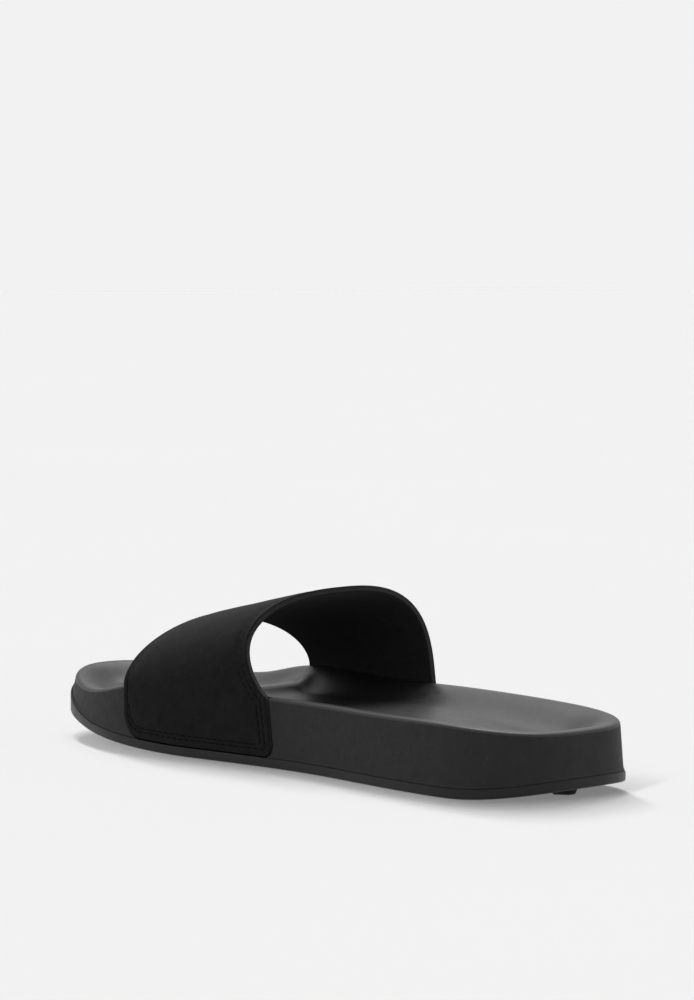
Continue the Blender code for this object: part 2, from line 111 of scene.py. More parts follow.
# Strap
STRAP_WALL = 0.0026
STRAP_PROUD = 0.0007
STRAP_PADDING = 0.0003
STRAP_FOOT_LIFT = 0.0005
FRONT_CORNER = 0.0095
BACK_CORNER = 0.0045
BACK_FLARE = 0.0044
FRONT_TUCK = 0.0016
INSTEP_RISE = 0.0405
BALL_RISE = 0.0257
STRAP_EDGE_ROUND = 0.0005
EDGE_CREASE = 0.00012

# Seams of the strap: distances from its back edge and its lower ends in pairs, from its front edge, and on
# the lining from its back edge; the size of groove and thread, and what is left of them over the arch
SEAMS = ((0.0027, 0.0026), (0.0050, 0.0042))
FRONT_SEAM = 0.0026
LINING_SEAM = 0.0031
SEAM_WIDTH = 0.00045
SEAM_DEPTH = 0.00040
ARCH_SEAM = 0.15
ARCH_FADE = 0.10
STITCH_LENGTH = 0.0025
STITCH_GAP = 0.0008
THREAD = 0.00021

# A soft dent in the strap's medial side
DENT = (0.0180, 0.0435, 0.0287)
DENT_RADIUS = 0.0040
DENT_DEPTH = 0.00035

# Gaps between pieces
CLEARANCE = 0.0003
PARTING = 0.00004
Gap = namedtuple("Gap", "end front back")
NO_GAP = Gap(0.0, 0.0, 0.0)
POCKET_GAP = Gap(0.0005, 0.0006, 0.0010)

# Fineness of the meshes
OUTLINE_POINTS = 440
ARCH_STEPS = 190
MARGIN_STEP = 0.00032
MARGIN = 0.0072
MIDDLE_COLUMNS = 34
STITCH_RINGS = 7
STITCH_SIDES = 8
WALL_FOOT_STEP = 0.0001
FOOT_ROWS = 14
FOOT_HEIGHT = 0.022
COVER_SKIN, LINING_SKIN, EDGE_SKIN = range(3)
RING_MERGE = 0.00002

# Rings of the flat faces, as shares of the way to the spine; the outsole's lower edge, as insets and lifts
# in shares of BAND_EDGE; and the footbed's rings: their reach in shares of CUP_SLOPE, and how near they come
# to the spine
INNER_RINGS = (1.0, 0.6, 0.25)
BAND_FOOT = ((3.0, 0.0), (1.8, 0.05), (1.0, 0.3), (0.45, 0.75), (0.12, 1.2), (0.0, 1.8))
FOOTBED_RINGS = 26
FOOTBED_REACH = 1.15
FOOTBED_LEAST = 0.30
FOOTBED_MOST = 0.86

# Shares of the length
SPRING_START = 0.62
BEVEL_END = 0.12
BUMPER_START = 0.84
HEEL_END = 0.146
TOE_END = 0.255
HEEL_ROUNDNESS = 2.69
TOE_ROUNDNESS = 2.25
TOE_CURVE_START = 0.60
SPINE_START = 0.130
SPINE_END = 0.840
ROUND_START = 0.82

# Half widths of the outer edge
OutlineRow = namedtuple("OutlineRow", "station medial lateral")
OUTLINE = (
    OutlineRow(0.00, 0.440 * HEEL_WIDTH, 0.510 * HEEL_WIDTH),
    OutlineRow(0.12, 0.498 * HEEL_WIDTH, 0.502 * HEEL_WIDTH),
    OutlineRow(0.25, 0.500 * HEEL_WIDTH, 0.517 * HEEL_WIDTH),
    OutlineRow(0.40, 0.478 * HEEL_WIDTH, 0.560 * HEEL_WIDTH),
    OutlineRow(0.55, 0.424 * BALL_WIDTH, 0.499 * BALL_WIDTH),
    OutlineRow(0.70, 0.476 * BALL_WIDTH, 0.524 * BALL_WIDTH),
    OutlineRow(0.82, 0.474 * BALL_WIDTH, 0.513 * BALL_WIDTH),
    OutlineRow(0.92, 0.460 * BALL_WIDTH, 0.479 * BALL_WIDTH),
    OutlineRow(1.00, 0.471 * BALL_WIDTH, 0.426 * BALL_WIDTH),
)

# Height of the rim above the floor
RimRow = namedtuple("RimRow", "station medial lateral")
RIM = (
    RimRow(0.00, 0.842 * SOLE_HEIGHT, 0.818 * SOLE_HEIGHT),
    RimRow(0.12, 0.917 * SOLE_HEIGHT, 0.912 * SOLE_HEIGHT),
    RimRow(0.25, 0.915 * SOLE_HEIGHT, 0.945 * SOLE_HEIGHT),
    RimRow(0.40, 0.919 * SOLE_HEIGHT, 0.930 * SOLE_HEIGHT),
    RimRow(0.55, 0.945 * SOLE_HEIGHT, 0.893 * SOLE_HEIGHT),
    RimRow(0.66, 0.987 * SOLE_HEIGHT, 0.912 * SOLE_HEIGHT),
    RimRow(0.76, 0.870 * SOLE_HEIGHT, 0.871 * SOLE_HEIGHT),
    RimRow(0.82, 0.765 * SOLE_HEIGHT, 0.760 * SOLE_HEIGHT),
    RimRow(0.92, 0.744 * SOLE_HEIGHT, 0.795 * SOLE_HEIGHT),
    RimRow(1.00, 0.900 * SOLE_HEIGHT, 0.965 * SOLE_HEIGHT),
)

# Depth of the footbed under its rim, and the width of the slope down to it
CupRow = namedtuple("CupRow", "station depth slope")
CUP = (
    CupRow(0.00, 0.82 * CUP_DEPTH, 1.10 * CUP_SLOPE),
    CupRow(0.15, 0.86 * CUP_DEPTH, 1.10 * CUP_SLOPE),
    CupRow(0.30, 0.60 * CUP_DEPTH, 1.10 * CUP_SLOPE),
    CupRow(0.42, 0.56 * CUP_DEPTH, 1.10 * CUP_SLOPE),
    CupRow(0.58, 0.80 * CUP_DEPTH, 0.95 * CUP_SLOPE),
    CupRow(0.70, 0.92 * CUP_DEPTH, 0.85 * CUP_SLOPE),
    CupRow(0.82, 0.50 * CUP_DEPTH, 0.70 * CUP_SLOPE),
    CupRow(0.92, 0.42 * CUP_DEPTH, 0.70 * CUP_SLOPE),
    CupRow(1.00, 0.80 * CUP_DEPTH, 0.90 * CUP_SLOPE),
)

# The strap's front and back edges
EdgeRow = namedtuple("EdgeRow", (
    "medial", "lateral", "medial_sweep", "lateral_sweep", "sweep_power",
    "crown", "rise", "roundness", "lean"))
FRONT_EDGE = EdgeRow(0.259 * LENGTH, 0.237 * LENGTH, 0.005 * LENGTH, -0.003 * LENGTH, 0.86,
                     -0.007 * LENGTH, BALL_RISE, 1.79, 0.00)
BACK_EDGE = EdgeRow(-0.0205 * LENGTH, -0.0520 * LENGTH, 0.0935 * LENGTH, 0.0135 * LENGTH, 0.746,
                    -0.0275 * LENGTH, INSTEP_RISE, 2.44, -0.074)

# Bars of the tread: station, reach to either side as shares of the half widths, and share of the zigzag
LugRow = namedtuple("LugRow", "station medial lateral zigzag")
LUGS = (
    LugRow(0.066, -0.18, 0.26, 0.0),
    LugRow(0.141, 0.40, 0.66, 1.0),
    LugRow(0.197, 0.60, 0.78, 1.0),
    LugRow(0.253, 0.60, 0.78, 1.0),
    LugRow(0.309, 0.58, 0.76, 1.0),
    LugRow(0.482, 0.52, 0.72, 1.0),
    LugRow(0.540, 0.58, 0.76, 1.0),
    LugRow(0.598, 0.62, 0.78, 1.0),
    LugRow(0.656, 0.64, 0.80, 1.0),
    LugRow(0.714, 0.64, 0.80, 1.0),
    LugRow(0.772, 0.64, 0.80, 1.0),
    LugRow(0.830, 0.62, 0.78, 1.0),
    LugRow(0.888, 0.56, 0.72, 1.0),
)
LUG_ZIGZAG = (0.0, 0.25, 0.5, 0.75, 1.0)

# The studio camera: direction to the shoe's middle in degrees, its distance, and where that middle lies
# in a picture of 694 by 1000
PICTURE = (694, 1000)
CAMERA_AZIMUTH = 228.22
CAMERA_ELEVATION = 8.68
CAMERA_DISTANCE = 1.2849
CAMERA_TARGET = Vector((0.0, 0.00218, -0.00285))
TARGET_PIXEL = (329.08, 769.48)
CAMERA_LENS = 116.43
SENSOR = 36.0

# The studio: the white all round, the floor's own glow and its paper, which the lamps top up to that white,
# and rows of lamps for the floor alone: their slopes to the upright, positive behind the shoe, and their
# share of that top-up
FLOOR_SIZE = 80.0
BACKGROUND = 0.8879
FLOOR_GLOW = 0.20
FLOOR_PAPER = 0.08
LampRow = namedtuple("LampRow", "name azimuth start end count share")
LAMP_ROWS = (
    LampRow("front", 200.0, -6.0, 0.0, 9, 0.42),
    LampRow("back", 248.0, 0.0, 1.3, 10, 0.58),
)
ROW_LAMP_ANGLE = 7.0
KEY_AZIMUTH = 228.0
KEY_POWER = 2.6
KEY_ANGLE = 40.0
KEY_TILT = 22.0

# Where the values of a noise field mostly lie, and what counts as a face of the footbed: how far it looks
# up, and its share of the way from the outsole to the rim
NOISE_RANGE = (0.3, 0.7)
FOOTBED_UP = 0.3
FOOTBED_LOW = 0.3


def spline(rows, column):
    """A natural cubic through one column of a table, as a function of the station."""
    xs = np.array([row.station for row in rows])
    ys = np.array([getattr(row, column) for row in rows])
    steps = np.diff(xs)
    count = len(xs)
    system = np.eye(count)
    right = np.zeros(count)
    for i in range(1, count - 1):
        system[i, i - 1] = steps[i - 1]
        system[i, i] = 2.0 * (steps[i - 1] + steps[i])
        system[i, i + 1] = steps[i]
        right[i] = 6.0 * ((ys[i + 1] - ys[i]) / steps[i] - (ys[i] - ys[i - 1]) / steps[i - 1])
    bends = np.linalg.solve(system, right)

    def value(station):
        s = np.clip(station, xs[0], xs[-1])
        i = np.minimum(np.searchsorted(xs, s, side="right") - 1, count - 2)
        h = steps[i]
        a = (xs[i + 1] - s) / h
        b = (s - xs[i]) / h
        bend = ((a ** 3 - a) * bends[i] + (b ** 3 - b) * bends[i + 1]) * h * h / 6.0
        return a * ys[i] + b * ys[i + 1] + bend

    return value


MEDIAL_WIDTH = spline(OUTLINE, "medial")
LATERAL_WIDTH = spline(OUTLINE, "lateral")
MEDIAL_RIM = spline(RIM, "medial")
LATERAL_RIM = spline(RIM, "lateral")
FOOTBED_DEPTH = spline(CUP, "depth")
FOOTBED_SLOPE = spline(CUP, "slope")


def clamp(value, low=0.0, high=1.0):
    return np.minimum(np.maximum(value, low), high)


def smooth(value):
    t = clamp(value)
    return t * t * (3.0 - 2.0 * t)


def mix(a, b, share):
    return a + (b - a) * share


def bump(distance, width):
    """A soft ridge of height 1 at distance 0."""
    return np.exp(-(distance / width) ** 2)


def station_of(x):
    return x / LENGTH + 0.5


def end_share(station):
    """Share of the full half width that the round heel and toe ends leave at a station."""
    heel = clamp((HEEL_END - station) / HEEL_END)
    toe = clamp((station - 1.0 + TOE_END) / TOE_END)
    share = (1.0 - heel ** HEEL_ROUNDNESS) ** (1.0 / HEEL_ROUNDNESS)
    return share * (1.0 - toe ** TOE_ROUNDNESS) ** (1.0 / TOE_ROUNDNESS)


def reach_from_axis(station, side):
    """Y of the outer edge from the foot's axis; side is 1 for medial and -1 for lateral."""
    s = clamp(station)
    middle = TOE_CURVE * clamp((s - TOE_CURVE_START) / (1.0 - TOE_CURVE_START)) ** 2
    medial = middle + (MEDIAL_WIDTH(s) - middle) * end_share(s)
    lateral = middle - (LATERAL_WIDTH(s) + middle) * end_share(s)
    return np.where(side > 0, medial, lateral)


def axis_offset():
    """Y of the foot's axis that puts the middle of the shoe's width over the origin."""
    stations = np.linspace(0.0, 1.0, 89)
    return -0.5 * (reach_from_axis(stations, 1).max() + reach_from_axis(stations, -1).min())


AXIS_Y = axis_offset()


def side_y(station, side):
    return AXIS_Y + reach_from_axis(station, side)


def outline_points(count):
    """The outer edge, from the heel along the medial side to the toe and back."""
    turn = np.arange(count)
    station = 0.5 - 0.5 * np.cos(2.0 * np.pi * turn / count)
    side = np.where(turn <= count // 2, 1.0, -1.0)
    return np.stack(((station - 0.5) * LENGTH, side_y(station, side)), axis=1)


def spine_points(edge):
    """The nearest points of the sole's centre line, which stops short of the round ends."""
    station = clamp(station_of(edge[:, 0]), SPINE_START, SPINE_END)
    middle = 0.5 * (side_y(station, 1) + side_y(station, -1))
    return np.stack(((station - 0.5) * LENGTH, middle), axis=1)


OUTER_EDGE = outline_points(OUTLINE_POINTS)
SPINE = spine_points(OUTER_EDGE)
REACH = np.linalg.norm(SPINE - OUTER_EDGE, axis=1)


def inset_ring(inset, share):
    """The outer edge moved in by a distance, but at most by a share of the way to the spine."""
    move = np.minimum(inset / REACH, share)
    return mix(OUTER_EDGE, SPINE, move[:, None])


def band_bottom(x):
    """Height of the outsole's lower edge, without its lugs."""
    s = clamp(station_of(x))
    spring = TOE_SPRING * clamp((s - SPRING_START) / (1.0 - SPRING_START)) ** 2
    bevel = HEEL_BEVEL * clamp((BEVEL_END - s) / BEVEL_END) ** 2
    return LUG_HEIGHT + spring + bevel


def band_top(x):
    """Height of the line between outsole and midsole, which climbs over the toe as a bumper."""
    s = clamp(station_of(x))
    bumper = TOE_BUMPER * clamp((s - BUMPER_START) / (1.0 - BUMPER_START)) ** 2
    return band_bottom(x) + BAND_HEIGHT + bumper


def midsole_bottom(x):
    return band_top(x) + PARTING


def rim_height(x, y):
    """Height of the surface that the rim lies on, between its medial and lateral sides."""
    s = clamp(station_of(x))
    medial = MEDIAL_WIDTH(s)
    lateral = LATERAL_WIDTH(s)
    share = clamp((y - AXIS_Y + lateral) / (medial + lateral))
    return mix(LATERAL_RIM(s), MEDIAL_RIM(s), share)


def footbed_height(x, y, inset):
    """Height of the footbed at a distance in from the outer edge."""
    s = clamp(station_of(x))
    slope = smooth((inset - RIM_WIDTH) / FOOTBED_SLOPE(s))
    away = (s - TOE_BAR_STATION) * LENGTH
    bar = TOE_BAR_HEIGHT * bump(away, np.where(away > 0.0, TOE_BAR_FRONT, TOE_BAR_BACK))
    bar = bar * smooth((slope - TOE_BAR_START) / (1.0 - TOE_BAR_START))
    return rim_height(x, y) - FOOTBED_DEPTH(s) * slope + bar


def mesh_object(name, points, faces, skins=()):
    """A closed mesh object from points and faces, with its faces pointing out and the skin of each."""
    data = bpy.data.meshes.new(name)
    data.from_pydata([tuple(point) for point in points], [], faces)
    if len(skins):
        data.polygons.foreach_set("material_index", skins)
    made = bpy.data.objects.new(name, data)
    bpy.context.scene.collection.objects.link(made)
    face_out(made)
    return made


def face_out(piece):
    mesh = bmesh.new()
    mesh.from_mesh(piece.data)
    bmesh.ops.remove_doubles(mesh, verts=mesh.verts, dist=RING_MERGE)
    bmesh.ops.recalc_face_normals(mesh, faces=mesh.faces)
    mesh.to_mesh(piece.data)
    mesh.free()


def loft(name, rings):
    """A closed mesh through rings of equal count; the first and the last lie on the spine."""
    count = len(rings[0])
    points = np.concatenate(rings)
    faces = []
    for layer in range(len(rings) - 1):
        low = layer * count
        for i in range(count):
            j = (i + 1) % count
            faces.append((low + i, low + j, low + count + j, low + count + i))
    return mesh_object(name, points, faces)


def ring_at(inset, share, height):
    """A ring whose height is a function of its x and y."""
    ring = inset_ring(inset, share)
    return np.column_stack((ring, height(ring[:, 0], ring[:, 1])))


def boolean(target, cutter, operation):
    """Join or cut one mesh with another, and remove the cutter."""
    modifier = target.modifiers.new(cutter.name, "BOOLEAN")
    modifier.object = cutter
    modifier.operation = operation
    modifier.solver = "EXACT"
    apply_modifiers(target)
    bpy.data.objects.remove(cutter, do_unlink=True)


def apply_modifiers(piece):
    evaluated = piece.evaluated_get(bpy.context.evaluated_depsgraph_get())
    data = bpy.data.meshes.new_from_object(evaluated)
    piece.modifiers.clear()
    piece.data = data


def shade(piece, degrees):
    piece.data.shade_smooth()
    piece.data.set_sharp_from_angle(angle=math.radians(degrees))


def zigzag_bar(bars, x, low_y, high_y, length, wave, waves, tread, root_height, taper):
    """Add a zigzag bar to a list of bars, from its tread face up to a wider root."""
    bars.append([])
    for grow, height in ((0.0, tread), (taper, root_height)):
        front = []
        back = []
        for i in range(waves + 1):
            shift = 0.5 * wave * (-1.0) ** i
            y = mix(low_y - grow, high_y + grow, i / waves)
            for line, end in ((front, 0.5 * length + grow), (back, -0.5 * length - grow)):
                px = x + shift + end
                line.append((px, y, band_bottom(px) + height))
        bars[-1].append(front + back[::-1])


def bars_object(name, bars):
    """Closed zigzag bars as one mesh."""
    points = []
    faces = []
    for tread, root in bars:
        start = len(points)
        count = len(tread)
        points += tread + root
        for i in range(count // 2 - 1):
            near, far = start + i, start + count - 1 - i
            faces.append((near, near + 1, far - 1, far))
            faces.append((near + count, near + count + 1, far + count - 1, far + count))
        for i in range(count):
            j = (i + 1) % count
            faces.append((start + i, start + j, start + count + j, start + count + i))
    return mesh_object(name, points, faces)


def lug_bars():
    bars = []
    for row in LUGS:
        x = (row.station - 0.5) * LENGTH
        medial = float(AXIS_Y + reach_from_axis(row.station, 1) * row.medial)
        lateral = float(AXIS_Y + reach_from_axis(row.station, -1) * row.lateral)
        waves = len(LUG_ZIGZAG) - 1
        zigzag_bar(bars, x, lateral, medial, LUG_LENGTH, LUG_WAVE * row.zigzag, waves,
                   -LUG_HEIGHT, LUG_ROOT, LUG_TAPER)
    return bars


def rib_bars():
    """Fine ribs between the bars of the tread."""
    bars = []
    x = -0.5 * LENGTH + 3.0 * RIB_MARGIN
    while x < 0.5 * LENGTH - 3.0 * RIB_MARGIN:
        near = min(abs(x - (row.station - 0.5) * LENGTH) for row in LUGS)
        station = station_of(x)
        medial = float(side_y(station, 1)) - RIB_MARGIN
        lateral = float(side_y(station, -1)) + RIB_MARGIN
        waves = 2 * round((medial - lateral) / (8.0 * RIB_WAVE))
        if near > 0.5 * LUG_LENGTH + LUG_TAPER + 0.5 * (LUG_WAVE + RIB_WAVE) + RIB_WIDTH:
            zigzag_bar(bars, x, lateral, medial, RIB_WIDTH, RIB_WAVE, waves, -RIB_HEIGHT, RIB_HEIGHT, 0.0)
        x += RIB_PITCH
    return bars


def round_edges(piece, width):
    """Soften the edges of a bar's tread face."""
    modifier = piece.modifiers.new("round", "BEVEL")
    modifier.width = width
    modifier.segments = 2
    modifier.limit_method = "ANGLE"
    modifier.angle_limit = math.radians(40.0)
    apply_modifiers(piece)


def build_outsole():
    rings = [ring_at(LENGTH, share, lambda x, y: band_bottom(x)) for share in INNER_RINGS]
    for inset, lift in BAND_FOOT:
        rings.append(ring_at(
            inset * BAND_EDGE, 1.0, lambda x, y, lift=lift: band_bottom(x) + lift * BAND_EDGE))
    for turn in np.linspace(0.0, 0.5 * np.pi, 6):
        inset = BAND_LIP_ROUND * (1.0 - math.cos(turn))
        drop = BAND_LIP_ROUND * (1.0 - math.sin(turn))
        rings.append(ring_at(inset, 1.0, lambda x, y, drop=drop: band_top(x) - drop))
    rings += [ring_at(LENGTH, share, lambda x, y: band_top(x)) for share in INNER_RINGS[::-1]]
    outsole = loft("outsole_finished", rings)
    bars = bars_object("tread_bars", lug_bars())
    round_edges(bars, LUG_ROUND)
    boolean(outsole, bars, "UNION")
    boolean(outsole, bars_object("tread_ribs", rib_bars()), "UNION")
    shade(outsole, 32.0)
    return outsole


def rim_round(x):
    """Radius of the rim's rounding, which grows over the toe."""
    return mix(RIM_ROUND, TOE_RIM_ROUND, smooth((station_of(x) - ROUND_START) / (1.0 - ROUND_START)))


def wall_ring(share, lift, inset):
    """A ring of the wall a share of the way up to the rim's round, and a lift above that."""
    return ring_at(inset, 1.0, lambda x, y: lift + mix(
        midsole_bottom(x), rim_height(x, y) - rim_round(x), share))


def midsole_rings():
    """Rings from the middle of the underside, up the wall, over the rim to the footbed."""
    rings = [ring_at(LENGTH, share, lambda x, y: midsole_bottom(x)) for share in INNER_RINGS]
    for turn in np.linspace(0.0, 0.5 * np.pi, 5)[:-1]:
        inset = LIP - WALL_FOOT + WALL_EDGE_ROUND * (1.0 - math.sin(turn))
        rings.append(wall_ring(0.0, WALL_EDGE_ROUND * (1.0 - math.cos(turn)), inset))
    for lift in np.arange(WALL_EDGE_ROUND, WALL_FOOT_HEIGHT + WALL_FOOT_SLOPE, WALL_FOOT_STEP):
        back = smooth((lift - WALL_FOOT_HEIGHT) / WALL_FOOT_SLOPE)
        rings.append(wall_ring(0.0, lift, LIP - WALL_FOOT * (1.0 - back)))
    for share in np.linspace(0.0, 1.0, 9)[1:-1]:
        rings.append(wall_ring(share, 0.0, mix(LIP, RIM_INSET, share)))
    for step in range(8):
        turn = 0.5 * np.pi * step / 7.0
        inset = RIM_INSET + rim_round(OUTER_EDGE[:, 0]) * (1.0 - math.cos(turn))
        drop = 1.0 - math.sin(turn)
        rings.append(ring_at(inset, 1.0, lambda x, y, drop=drop: rim_height(x, y) - drop * rim_round(x)))
    for step in np.linspace(0.0, FOOTBED_REACH, FOOTBED_RINGS):
        most = mix(FOOTBED_LEAST, FOOTBED_MOST, step / FOOTBED_REACH)
        inset = np.minimum(RIM_WIDTH + step * CUP_SLOPE, REACH * most)
        ring = mix(OUTER_EDGE, SPINE, (inset / REACH)[:, None])
        rings.append(np.column_stack((ring, footbed_height(ring[:, 0], ring[:, 1], inset))))
    height = footbed_height(SPINE[:, 0], SPINE[:, 1], RIM_WIDTH + 2.0 * CUP_SLOPE)
    rings.append(np.column_stack((SPINE, height)))
    return rings


def build_midsole():
    midsole = loft("midsole_finished", midsole_rings())
    for side, label in ((1, "medial"), (-1, "lateral")):
        boolean(midsole, strap_pocket(side, f"pocket_{label}"), "DIFFERENCE")
    shade(midsole, 35.0)
    return midsole


def wall_inset(x, y, z):
    """How far the midsole's wall lies in from the outer edge at a height."""
    low = midsole_bottom(x)
    return mix(LIP, RIM_INSET, clamp((z - low) / (rim_height(x, y) - low)))


def foot_end(side, along, gap):
    """Lower end of the strap at a share from its front to its back edge, with round corners."""
    front = FRONT_EDGE.medial if side > 0 else FRONT_EDGE.lateral
    back = BACK_EDGE.medial if side > 0 else BACK_EDGE.lateral
    x = mix(front, back, along)
    lift = 0.0
    ends = ((front - x, FRONT_CORNER, gap.front), (x - back, BACK_CORNER, gap.back))
    for from_edge, corner, beside in ends:
        away = clamp((corner - from_edge) / (corner + beside))
        lift = lift + (corner + gap.end) * (1.0 - np.sqrt(1.0 - away * away))
    return band_top(x) + STRAP_FOOT_LIFT - gap.end + lift


def strap_foot_point(side, along, height, gap):
    """Outer face of the strap beside the sole; height runs from 0 at its lower end to 1 at the rim."""
    x, y, top = strap_arch_point(0.0 if side > 0 else math.pi, along)
    z = mix(foot_end(side, along, gap), top, height)
    depth = clamp((top - z) / (top - band_top(x)))
    x = x - mix(FRONT_TUCK, BACK_FLARE, smooth(along)) * depth
    y = side_y(station_of(x), side) - side * (wall_inset(x, y, z) - STRAP_PROUD)
    return x, y, z


def edge_arch(edge, angle):
    """X, share across and height of one edge of the strap, from medial 0 to lateral pi."""
    power = edge.roundness
    rise = np.maximum(np.sin(angle), 0.0)
    reach = (np.abs(np.cos(angle)) ** power + rise ** power) ** (-1.0 / power)
    across = np.cos(angle) * reach
    up = rise * reach
    side = 0.5 - 0.5 * across
    x = mix(edge.medial, edge.lateral, side)
    x = x + mix(edge.medial_sweep, edge.lateral_sweep, side) * up ** edge.sweep_power
    x = x + edge.crown * (1.0 - across * across)
    rim = rim_height(x, mix(side_y(station_of(x), -1), side_y(station_of(x), 1), 1.0 - side))
    return x, across, rim + edge.rise * up * (1.0 + edge.lean * across)


def strap_arch_point(angle, along):
    """Outer face of the strap above the rim; angle runs from 0 at the medial to pi at the lateral side."""
    front = edge_arch(FRONT_EDGE, angle)
    back = edge_arch(BACK_EDGE, angle)
    x, across, z = (mix(a, b, along) for a, b in zip(front, back))
    inset = RIM_INSET - STRAP_PROUD
    medial = side_y(station_of(x), 1) - inset
    lateral = side_y(station_of(x), -1) + inset
    return x, mix(lateral, medial, 0.5 + 0.5 * across), z


def strap_points(row, along, gap=NO_GAP):
    """Outer face of the strap; row is below 0 on the medial foot, 0 to 1 over the arch, above 1 beyond."""
    row, along = np.broadcast_arrays(np.asarray(row, float), np.asarray(along, float))
    arch = strap_arch_point(np.pi * clamp(row), along)
    medial = strap_foot_point(1, along, clamp(1.0 + row), gap)
    lateral = strap_foot_point(-1, along, clamp(2.0 - row), gap)
    points = [np.where(row < 0.0, m, np.where(row > 1.0, l, a)) for a, m, l in zip(arch, medial, lateral)]
    return np.stack(points, axis=-1)


def grid_normals(points):
    """Outward directions of a grid of points on the strap."""
    across = np.gradient(points, axis=0)
    back = np.gradient(points, axis=1)
    normals = np.cross(back, across)
    return normals / np.linalg.norm(normals, axis=-1, keepdims=True)


def grid_faces(rows, columns, start, flip):
    faces = []
    for i in range(rows - 1):
        for j in range(columns - 1):
            a = start + i * columns + j
            quad = (a, a + columns, a + columns + 1, a + 1)
            faces.append(quad[::-1] if flip else quad)
    return faces


def perimeter(rows, columns):
    """Grid places round the edge: front edge, lateral end, back edge and medial end."""
    loop = [(i, 0) for i in range(rows)]
    loop += [(rows - 1, j) for j in range(1, columns)]
    loop += [(i, columns - 1) for i in range(rows - 2, -1, -1)]
    loop += [(0, j) for j in range(columns - 2, 0, -1)]
    return loop


def grid_solid(name, outer, inner, rims=()):
    """A closed solid between two grids, with extra loops of points round its edge."""
    rows, columns = outer.shape[:2]
    count = rows * columns
    points = [outer.reshape(-1, 3), inner.reshape(-1, 3)] + list(rims)
    faces = grid_faces(rows, columns, 0, False) + grid_faces(rows, columns, count, True)
    skins = [COVER_SKIN] * (len(faces) // 2) + [LINING_SKIN] * (len(faces) // 2)
    loop = [i * columns + j for i, j in perimeter(rows, columns)]
    loops = [loop]
    for k in range(len(rims)):
        first = 2 * count + k * len(loop)
        loops.append(list(range(first, first + len(loop))))
    loops.append([count + place for place in loop])
    for low, high in zip(loops, loops[1:]):
        for i in range(len(loop)):
            j = (i + 1) % len(loop)
            faces.append((low[i], low[j], high[j], high[i]))
            skins.append(EDGE_SKIN)
    return mesh_object(name, np.concatenate(points), faces, skins)


def strap_pocket(side, name):
    """Cutter for the pocket in the midsole's side that takes one end of the strap."""
    width = FRONT_EDGE.medial - BACK_EDGE.medial
    margin = np.linspace(0.0, FRONT_CORNER / width, 14)
    middle = np.linspace(0.14, 0.86, 22)
    columns = np.concatenate((
        [-POCKET_GAP.front / width], margin, middle, 1.0 - margin[::-1], [1.0 + POCKET_GAP.back / width]))
    heights = np.concatenate((np.linspace(-1.0, 0.0, 12), np.linspace(0.0, 0.12, 5)[1:]))
    places = heights if side > 0 else 1.0 - heights
    points = strap_points(places[:, None], columns[None, :], POCKET_GAP)
    normals = side * grid_normals(points)
    reach = 2.0 * STRAP_PROUD + RIM_INSET
    cutter = grid_solid(name, points + normals * reach, points - normals * (STRAP_WALL + CLEARANCE))
    cutter.data.polygons.foreach_set("material_index", [0] * len(cutter.data.polygons))
    return cutter


class StrapGrid:
    """The strap's outer face as a grid whose margins keep their distance from its edges."""

    def __init__(self):
        steps = np.arange(0.0, MARGIN, MARGIN_STEP)
        fine = np.array([0.0, 0.15, 0.45])
        self.margin = np.concatenate((fine * MARGIN_STEP, steps[1:]))
        self.rows, self.shares = self.layout()
        self.points = strap_points(self.rows, self.shares)
        self.normals = grid_normals(self.points)
        self.front = self.distance_to(self.points[:, 0])
        self.back = self.distance_to(self.points[:, -1])
        self.ends = np.minimum(self.distance_to(self.points[0]), self.distance_to(self.points[-1]))

    def layout(self):
        arch = np.linspace(0.0, 1.0, ARCH_STEPS + 1)
        foot = np.concatenate((self.margin, np.linspace(MARGIN, FOOT_HEIGHT, FOOT_ROWS)))
        nominal = np.concatenate((-1.0 + foot[:-1] / FOOT_HEIGHT, arch, 2.0 - foot[-2::-1] / FOOT_HEIGHT))
        coarse = np.linspace(0.0, 1.0, 60)
        lines = strap_points(nominal[:, None], coarse[None, :])
        widths = np.linalg.norm(np.diff(lines, axis=1), axis=-1).sum(axis=1)
        near = self.margin[None, :] / widths[:, None]
        inner = np.linspace(0.0, 1.0, MIDDLE_COLUMNS)[None, :]
        middle = mix(MARGIN / widths[:, None], 1.0 - MARGIN / widths[:, None], inner)
        shares = np.concatenate((near, middle, 1.0 - near[:, ::-1]), axis=1)
        rows = np.repeat(nominal[:, None], shares.shape[1], axis=1)
        for side, place in ((1, rows < 0.0), (-1, rows > 1.0)):
            low = foot_end(side, shares, NO_GAP)
            top = strap_arch_point(0.0 if side > 0 else math.pi, shares)[2]
            away = (1.0 + rows if side > 0 else 2.0 - rows) * FOOT_HEIGHT
            length = top - low
            near_end = away / length
            beyond = mix(MARGIN / length, 1.0, (away - MARGIN) / (FOOT_HEIGHT - MARGIN))
            height = np.where(away <= MARGIN, near_end, beyond)
            fitted = -1.0 + height if side > 0 else 2.0 - height
            rows = np.where(place, fitted, rows)
        return rows, shares

    def distance_to(self, line):
        """Distance of every grid point to a line of points."""
        dense = []
        for a, b in zip(line, line[1:]):
            dense += [mix(a, b, share) for share in (0.0, 0.25, 0.5, 0.75)]
        dense.append(line[-1])
        tree = kdtree.KDTree(len(dense))
        for index, point in enumerate(dense):
            tree.insert(point, index)
        tree.balance()
        flat = self.points.reshape(-1, 3)
        found = np.array([tree.find(point)[2] for point in flat])
        return found.reshape(self.points.shape[:2])


def arch_share(rows):
    """0 on the strap's feet and 1 over its arch."""
    return smooth(rows / ARCH_FADE) * smooth((1.0 - rows) / ARCH_FADE)


